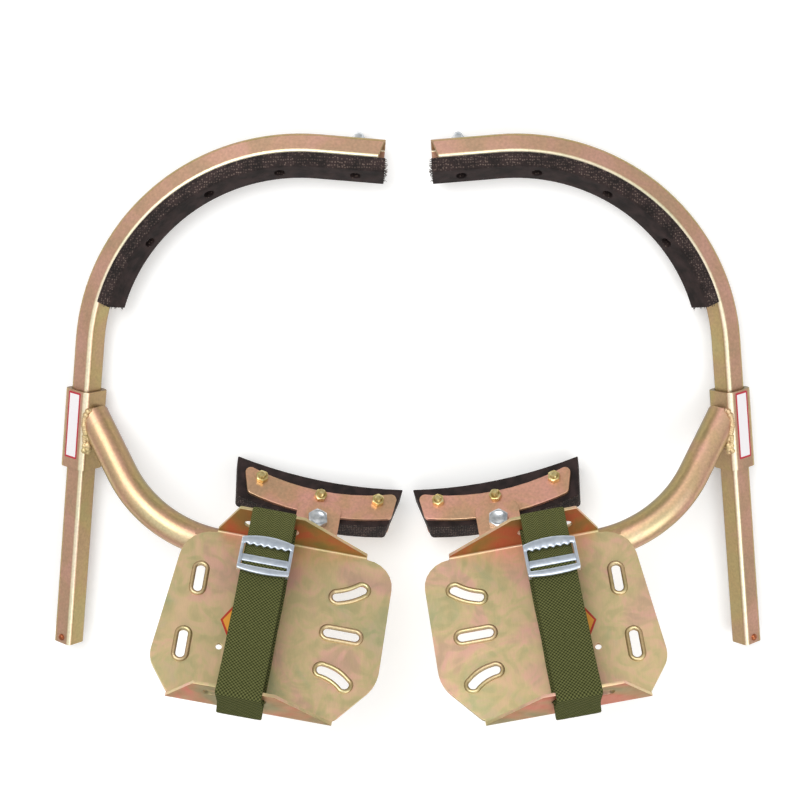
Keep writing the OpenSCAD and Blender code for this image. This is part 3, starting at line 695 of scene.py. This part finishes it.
def plate_zinc_with_painted_shade():
    """Yellow passivated zinc on sheet: olive gold with large drifts of rose, straw and green,
    and faint scratches. Faces that look back along the plate, against plate_v, turn deep orange
    brown as painted shade and painted reflection."""
    material, tree, shader = finish("passivated zinc on sheet steel with painted shade", {"Metallic": 0.7, "Roughness": 0.4})
    where = node(tree, "ShaderNodeTexCoord")
    broad = node(tree, "ShaderNodeTexNoise", {"Vector": where.outputs["Object"], "Scale": 13.0,
        "Detail": 4.0, "Distortion": 1.4})
    gold = ramp(tree, broad.outputs["Fac"], [(0.30, "#b3b78c"), (0.42, "#cdbd8c"), (0.50, "#dac294"),
        (0.58, "#dfb49b"), (0.70, "#d8a69c")])
    veins = node(tree, "ShaderNodeTexNoise", {"Vector": where.outputs["Object"], "Scale": 46.0,
        "Detail": 6.0, "Distortion": 2.2})
    streak = ramp(tree, veins.outputs["Fac"], [(0.40, "#b8ad7e"), (0.50, "#cdb688"), (0.60, "#dcae96")])
    sheet = node(tree, "ShaderNodeMix", {"Factor": 0.38, 6: gold, 7: streak}, data_type="RGBA")
    # Painted shade and reflection: faces turned against plate_v are mixed up to 85% into a deep orange brown.
    steep = node(tree, "ShaderNodeVectorMath", {0: where.outputs["Normal"], 1: tuple(plate_v)},
        operation="DOT_PRODUCT")
    painted_fold_shade = node(tree, "ShaderNodeMapRange", {"Value": steep.outputs["Value"], "From Min": -0.6,
        "From Max": -0.95, "To Min": 0.0, "To Max": 0.85})
    sheet_with_painted_shade = node(tree, "ShaderNodeMix", {"Factor": painted_fold_shade.outputs[0], 6: sheet.outputs[2],
        7: ramp(tree, broad.outputs["Fac"], [(0.4, "#7c6a2c"), (0.52, "#a2662a"), (0.62, "#b9552a")])},
        data_type="RGBA")
    scratch_map = node(tree, "ShaderNodeMapping",
        {"Vector": where.outputs["Object"], "Rotation": (0.3, 0.5, 0.8), "Scale": (900.0, 60.0, 200.0)})
    scratches = node(tree, "ShaderNodeTexNoise",
        {"Vector": scratch_map.outputs[0], "Scale": 1.0, "Detail": 2.0})
    marks = node(tree, "ShaderNodeMapRange", {"Value": scratches.outputs["Fac"], "From Min": 0.3,
        "From Max": 0.75, "To Min": 0.97, "To Max": 1.03})
    toned = node(tree, "ShaderNodeMix", {"Factor": 1.0, 6: sheet_with_painted_shade.outputs[2], 7: marks.outputs[0]},
        data_type="RGBA", blend_type="MULTIPLY")
    tree.links.new(toned.outputs[2], shader.inputs["Base Color"])
    worn = node(tree, "ShaderNodeMapRange", {"Value": veins.outputs["Fac"], "From Min": 0.3,
        "From Max": 0.7, "To Min": 0.33, "To Max": 0.48})
    tree.links.new(worn.outputs[0], shader.inputs["Roughness"])
    dents = node(tree, "ShaderNodeBump", {"Strength": 0.25, "Distance": 0.0012,
        "Height": broad.outputs["Fac"]})
    fine = node(tree, "ShaderNodeBump", {"Strength": 0.03, "Distance": 0.0002,
        "Height": scratches.outputs["Fac"], "Normal": dents.outputs[0]})
    tree.links.new(fine.outputs[0], shader.inputs["Normal"])
    return material


sheet_zinc_painted_shade = plate_zinc_with_painted_shade()
softened("foot_plate", "foot_plate_sheet", 0.0005, sheet_zinc_painted_shade)

# Pressed rims: a round lip swept round each slot
PLATE_SLOTS = ((72, -38, 32, 9.2, 28, -1.2), (70.6, -78, 32, 9.2, 0, 0), (69.4, -118, 32, 9.2, -25, 2),
               (-58.1, -49, 26.5, 8.4, 92, 0), (-60.7, -112, 26.5, 8.4, 92, 0))
lip, lip_in, lip_out = group_tree("pressed lip", [("Radius", "Float"), ("Material", "Material")])
lip_line = node(lip, "GeometryNodeMeshToCurve", {"Mesh": lip_in.outputs["Geometry"]})
lip_section = node(lip, "GeometryNodeCurvePrimitiveCircle",
    {"Resolution": 12, "Radius": lip_in.outputs["Radius"]})
lip_skin = node(lip, "GeometryNodeCurveToMesh",
    {"Curve": lip_line.outputs[0], "Profile Curve": lip_section.outputs[0]})
lip_smooth = node(lip, "GeometryNodeSetShadeSmooth", {"Geometry": lip_skin.outputs[0]})
lip_surface = node(lip, "GeometryNodeSetMaterial",
    {"Geometry": lip_smooth.outputs[0], "Material": lip_in.outputs["Material"]})
lip.links.new(lip_surface.outputs[0], lip_out.inputs[0])
lip_points, lip_edges = [], []
for x, y, length, width, angle, bulge in PLATE_SLOTS:
    around = on_plate @ Matrix.Translation((x * MM, y * MM, 0.0001)) @ Matrix.Rotation(radians(angle), 4,
        "Z")
    half, reach, first = (length - width) / 2, width / 2 + 1.4, len(lip_points)
    outline = [(end * (half + reach * cos(pi * (k / 12 - 0.5))),
        end * reach * sin(pi * (k / 12 - 0.5))) for end in (1, -1) for k in range(13)]
    outline[13:13] = [(half * t, reach) for t in (0.67, 0.33, 0, -0.33, -0.67)]
    outline += [(half * t, -reach) for t in (-0.67, -0.33, 0, 0.33, 0.67)]
    for u, v in outline:
        lift = bulge * max(0.0, 1 - (u / half) ** 2)
        lip_points.append(around @ (Vector((u, v + lift, 0)) * MM))
    lip_edges += [(first + k, first + (k + 1) % len(outline)) for k in range(len(outline))]
lip_mesh = bpy.data.meshes.new("slot lines")
lip_mesh.from_pydata([tuple(p) for p in lip_points], lip_edges, [])
# Rims coloured by facing: painted highlight on the lip's crown, painted shade on its sides.
rim_zinc_painted_light = passivated_zinc_with_painted_light("passivated zinc on pressed rims with painted light",
    [(0.0, "#5a4a30"), (0.35, "#8d7a50"), (0.65, "#bba577"), (0.9, "#e5d6a6")], 0.2, 0.36)
on_both(applied(lip_mesh, lip, {"Radius": 0.0019, "Material": rim_zinc_painted_light}), "slot_rims", "frame")

# A hexagonal sticker, orange with a red border, lies half under the strap; it is left blank.
red_vinyl = finish("red vinyl border", {"Base Color": linear("#b8341f"), "Roughness": 0.35})[0]
orange_vinyl = finish("orange vinyl sticker", {"Base Color": linear("#e39c34"), "Roughness": 0.35})[0]
for radius, lift, vinyl, name, hidden in ((21, 0.25, red_vinyl, "blank_hexagon", ["plate_label"]),
    (18.9, 0.32, orange_vinyl, "hexagon_middle", [])):
    hexagon = [(radius * cos(radians(60 * k)), radius * sin(radians(60 * k))) for k in range(6)]
    on_both(sticker(name, hexagon, lift, on_plate @ Matrix.Translation((-0.012, -0.084, 0)), vinyl), name,
        "frame", hidden)

# ---- Pads ----
# Each pad is a slab of ply rubber between two 4 mm steel plates, held by three M6 bolts. A
# 5 mm tab under the front fold carries it on a single pivot bolt, so that it can swivel.

# Rose zinc coloured by facing: lightest on faces that look up, darker painted shade on the plates' sides.
rose_zinc_painted_light = passivated_zinc_with_painted_light("passivated zinc on laser-cut plate with painted light",
    [(0.0, "#97744f"), (0.5, "#d8a287"), (0.75, "#e8ac94"), (1.0, "#edc0a0")], 0.4, 0.36)
softened("pad_tab", "pad_tab_steel", 0.0004, rose_zinc_painted_light)
softened("pad_top_plate", "pad_top_steel", 0.0007, rose_zinc_painted_light)
softened("pad_bottom_plate", "pad_bottom_steel", 0.0007, rose_zinc_painted_light)
for slab, flip in zip(softened("pad_rubber", "pad_slab", 0.0012, ply_rubber), (1, -1)):
    side_n = Vector((plate_n.x * flip, plate_n.y, plate_n.z))
    side_v = Vector((plate_v.x * flip, plate_v.y, plate_v.z))
    mark_ply(slab, lambda normal, centre: abs(normal.dot(side_n)) < 0.5 and normal.dot(side_v) < 0.6)

PAD_BOLTS = ((-55.9, 35.2, 2.2), (-1, 27.4, 5.2), (50.4, 33.2, 2.2))
PAD_TOP = PLATE_T + 0.005
nut_meshes, bolt_meshes, washer_frames = [], [], []
for k, (x, y, tip) in enumerate(PAD_BOLTS):
    spin = Matrix.Rotation(radians(17 + 23 * k), 4, "Z")
    nut = hex_nut("pad nut", 10, 5, 3, gold_steel, tip)
    nut_meshes.append(repeated(nut, [on_pivot @ Matrix.Translation((x * MM, y * MM, -PAD_TOP)) @ spin],
        gold_steel))
    washer_frames.append(on_pivot @ Matrix.Translation((x * MM, y * MM, -PAD_TOP - 0.0312)))
bolt = turned("pad bolt", [(0.02, -4), (3.6, -4), (4.85, -4), (101, -4), (102, 0), (4.85, 0), (3, 0.02),
    (3, 31.4), (0.02, 31.4)], gold_steel, 48, hexagonal(10, 4.85))
on_both(joined("pad nuts", nut_meshes), "pad_nut_set", "pad", ["pad_nuts"])
on_both(repeated(bolt, washer_frames, gold_steel), "pad_bolt_set", "pad", ["pad_bolts"])
paint_cad("pad_washers", gold_steel)

# ---- Pivot bolts ----
# Each pad turns on an M10 hexagon bolt in bright zinc, whose head sits on the tab beside the
# front fold, with a washer and a nut under the pad's top plate.

pivot_head = turned("pivot bolt", [(0.02, -19.5), (4.4, -20.5), (5, -19.9), (5, -0.02), (7.76, 0), (101, 0),
    (102, 6.4), (7.76, 6.4), (5.6, 6.4), (5.2, 6.1), (0.02, 6.1)],
                    bright_steel, 48, hexagonal(16, 7.76))
on_both(repeated(pivot_head, [on_pivot @ Matrix.Translation((0, 0, -PLATE_T)) @ Matrix.Rotation(radians(12),
    4, "Z")], bright_steel), "pivot_bolt_steel", "frame", ["pivot_bolt"])
paint_cad("pivot_washer", bright_steel)
paint_cad("pivot_nut", bright_steel)

# ---- Webbing straps ----
# Each strap is 38 mm olive drab webbing, 2.2 mm thick, that runs over the boot from flange
# to flange and back under it, where it lies 3 mm aside. It is woven herringbone up to the
# buckle and plain past it.

STRAP_X, STRAP_W, STRAP_T = -5.0, 38.0, 2.2
STRAP_PATH = ((8.5, 45.5, 4), (-171.1, 45.5, 4), (-171.1, 5, 2.6), (-165.5, 5, 2.6), (-165.5, 28, 3),
    (8.5, 19, 4))


def evenly(outline, step):
    """Points every step mm along a closed outline."""
    loop = [Vector(p) for p in outline] + [Vector(outline[0])]
    lengths = [0.0]
    for a, b in zip(loop, loop[1:]):
        lengths.append(lengths[-1] + (b - a).length)
    count = int(lengths[-1] / step)
    spots, i = [], 0
    for k in range(count):
        target = lengths[-1] * k / count
        while lengths[i + 1] < target:
            i += 1
        share = (target - lengths[i]) / max(lengths[i + 1] - lengths[i], 1e-9)
        spots.append(loop[i].lerp(loop[i + 1], share))
    return spots, lengths[-1]


strap_line, strap_length = evenly(rounded_corners(STRAP_PATH, 8), 1.6)


def webbing_section():
    """The webbing's outline as (across, thickness) points, thinner at its selvedges."""
    half, thick = STRAP_W / 2, STRAP_T / 2
    top = [(x, thick * (1 if abs(x) < half - 1.4 else 0.8)) for x in np.linspace(-half + 0.7, half - 0.7,
        15)]
    return top + [(half, 0.0)] + [(x, -t) for x, t in reversed(top)] + [(-half, 0.0)]


ASIDE, ASIDE_FROM, ASIDE_OVER = 3.0, 44.0, 18.0
strap_section = webbing_section()
strap_rings = []
for i, spot in enumerate(strap_line):
    along = (strap_line[(i + 1) % len(strap_line)] - strap_line[i - 1]).normalized()
    side = Vector((-along.y, along.x))
    slack = 0.25 * sin(i * 0.13) * sin(i * 0.041)
    slack += ASIDE * max(0.0, min(1.0, (ASIDE_FROM - spot.y) / ASIDE_OVER))
    ring = []
    for x, t in strap_section:
        p = spot + side * (t * (1 + 0.04 * sin(i * 1.9 + x)))
        ring.append(on_plate @ (Vector((STRAP_X + x + slack, p.x, p.y)) * MM))
    strap_rings.append(ring)

webbing, web_tree, web_shader = finish("olive drab webbing",
    {"Roughness": 0.95, "Specular IOR Level": 0.06})
strap_mesh = lofted("webbing", strap_rings, webbing, closed=True)
web_layer = strap_mesh.uv_layers.new(name="UVMap")
ring_size = len(strap_section)
for polygon in strap_mesh.polygons:
    rows = [strap_mesh.loops[l].vertex_index // ring_size for l in polygon.loop_indices]
    wraps = max(rows) - min(rows) > 2
    for l in polygon.loop_indices:
        v = strap_mesh.loops[l].vertex_index
        row = v // ring_size
        if wraps and row == 0:
            row = len(strap_line)
        across_web = strap_section[v % ring_size][0]
        web_layer.data[l].uv = (across_web, row * strap_length / len(strap_line))

# The weave, in mm on the UV map: X across the webbing, Y along it
web_uv = node(web_tree, "ShaderNodeSeparateXYZ",
    {0: node(web_tree, "ShaderNodeUVMap", uv_map="UVMap").outputs[0]})
across, along_web = web_uv.outputs["X"], web_uv.outputs["Y"]


def wave(tree, value, period, phase=0.0):
    """A sine of a length in mm, from -1 to 1."""
    turns = node(tree, "ShaderNodeMath", {0: value, 1: 2 * pi / period}, operation="MULTIPLY")
    moved = node(tree, "ShaderNodeMath", {0: turns.outputs[0], 1: phase}, operation="ADD")
    return node(tree, "ShaderNodeMath", {0: moved.outputs[0]}, operation="SINE").outputs[0]


# Plain weave: fat picks 2.9 mm apart along, with dark pits where the warp dives, as painted shade, drawn coarse
# enough to show
pick = wave(web_tree, along_web, 2.9)
warp = wave(web_tree, across, 3.1)
checker = node(web_tree, "ShaderNodeMath", {0: pick, 1: warp}, operation="MULTIPLY")
plain = node(web_tree, "ShaderNodeMapRange",
    {"Value": checker.outputs[0], "From Min": -0.9, "From Max": 0.5, "To Min": 0.0, "To Max": 0.82})
# Herringbone: diagonals that turn back every 4.75 mm
zigzag = node(web_tree, "ShaderNodeMath", {0: across, 1: 4.75}, operation="PINGPONG")
slant = node(web_tree, "ShaderNodeMath", {0: along_web, 1: zigzag.outputs[0]}, operation="ADD")
twill_wave = wave(web_tree, slant.outputs[0], 2.3)
twill = node(web_tree, "ShaderNodeMapRange",
    {"Value": twill_wave, "From Min": -1.0, "From Max": 0.6, "To Min": 0.15, "To Max": 1.0})
BUCKLE_AT = 42.0
past_buckle = node(web_tree, "ShaderNodeMath", {0: along_web, 1: BUCKLE_AT + 4.0}, operation="GREATER_THAN")
weave = node(web_tree, "ShaderNodeMix", {"Factor": past_buckle.outputs[0], 2: twill.outputs[0],
    3: plain.outputs[0]})
fuzz = node(web_tree, "ShaderNodeTexNoise", {"Vector": node(web_tree,
    "ShaderNodeTexCoord").outputs["Object"], "Scale": 700.0, "Detail": 3.0})
fuzzy = node(web_tree, "ShaderNodeMath", {0: fuzz.outputs["Fac"], 1: 0.35}, operation="MULTIPLY")
height_web = node(web_tree, "ShaderNodeMath", {0: weave.outputs[0], 1: fuzzy.outputs[0]}, operation="ADD")
# The colour follows the weave's relief plus random fuzz: near black painted shade in its pits, lighter olive on
# its raised yarns.
weave_colour_with_painted_shade = ramp(web_tree, height_web.outputs[0],
    [(0.08, "#181a0d"), (0.45, "#3e4225"), (0.85, "#575a34"), (1.0, "#6a6b42")])
web_tree.links.new(weave_colour_with_painted_shade, web_shader.inputs["Base Color"])
web_bump = node(web_tree, "ShaderNodeBump", {"Strength": 0.8, "Distance": 0.0007,
    "Height": height_web.outputs[0]})
web_tree.links.new(web_bump.outputs[0], web_shader.inputs["Normal"])
for strap in on_both(strap_mesh, "webbing_strap", "frame", ["strap"]):
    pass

# ---- Buckles ----
# Each buckle is a stamped slide of bright zinc steel: an arched clamping bar with a wavy
# edge, a plain bowed bar, two side rails, and a bar under the webbing that pinches it.

stamped_zinc = bright_zinc("bright zinc on stamped steel", [(0.3, "#c3cddb"), (0.7, "#dae2ec")], 0.3)
BUCKLE_W, RAIL, BAR_T = 44.0, 2.0, 1.6
ABOVE = 45.5 + 1.2 + 0.5
BELOW = 45.5 - 1.2 - 0.5
on_buckle = on_plate @ Matrix.Translation((STRAP_X * MM, -BUCKLE_AT * MM, 0))


def bar_section(low, high, base, tall, r=0.5):
    """A rounded bar's section in (y, z), in mm."""
    return [(y, z) for y, z in rounded_corners([(low, base, r), (high, base, r), (high, base + tall, r),
        (low, base + tall, r)], 3)]


def buckle_bar(low, high, base):
    """A bar across the webbing; low and high, its two edges, are functions of x."""
    rings = []
    for x in np.linspace(-BUCKLE_W / 2 + 0.3, BUCKLE_W / 2 - 0.3, 57):
        section = bar_section(low(x), high(x), base, BAR_T)
        rings.append([on_buckle @ (Vector((x, y, z)) * MM) for y, z in section])
    return lofted("buckle bar", rings, stamped_zinc)


def bowed(x, most):
    return most * (1 - (2 * x / BUCKLE_W) ** 2)


toothed = buckle_bar(lambda x: 9.3 + 0.75 * cos(2 * pi * x / 6.0), lambda x: 14.5 + bowed(x, 3.5), ABOVE)
plain_bar = buckle_bar(lambda x: -15 - bowed(x, 2.0), lambda x: -11.0 - bowed(x, 0.6), ABOVE)
under_bar = buckle_bar(lambda x: -5.0, lambda x: 1.0, BELOW - BAR_T)
rails = []
for end in (-1, 1):
    rail_rings = []
    for y in np.linspace(-14.6, 14.6, 9):
        middle_x = end * (BUCKLE_W / 2 - RAIL / 2)
        section = rounded_corners([(middle_x - RAIL / 2, BELOW - BAR_T, 0.6),
            (middle_x + RAIL / 2, BELOW - BAR_T, 0.6),
                                   (middle_x + RAIL / 2, ABOVE + BAR_T, 0.6), (middle_x - RAIL / 2,
                                       ABOVE + BAR_T, 0.6)], 3)
        rail_rings.append([on_buckle @ (Vector((x, y, z)) * MM) for x, z in section])
    rails.append(lofted("buckle rail", rail_rings, stamped_zinc))
on_both(joined("buckle", [toothed, plain_bar, under_bar] + rails), "slide_buckle", "buckle",
    ["buckle"])
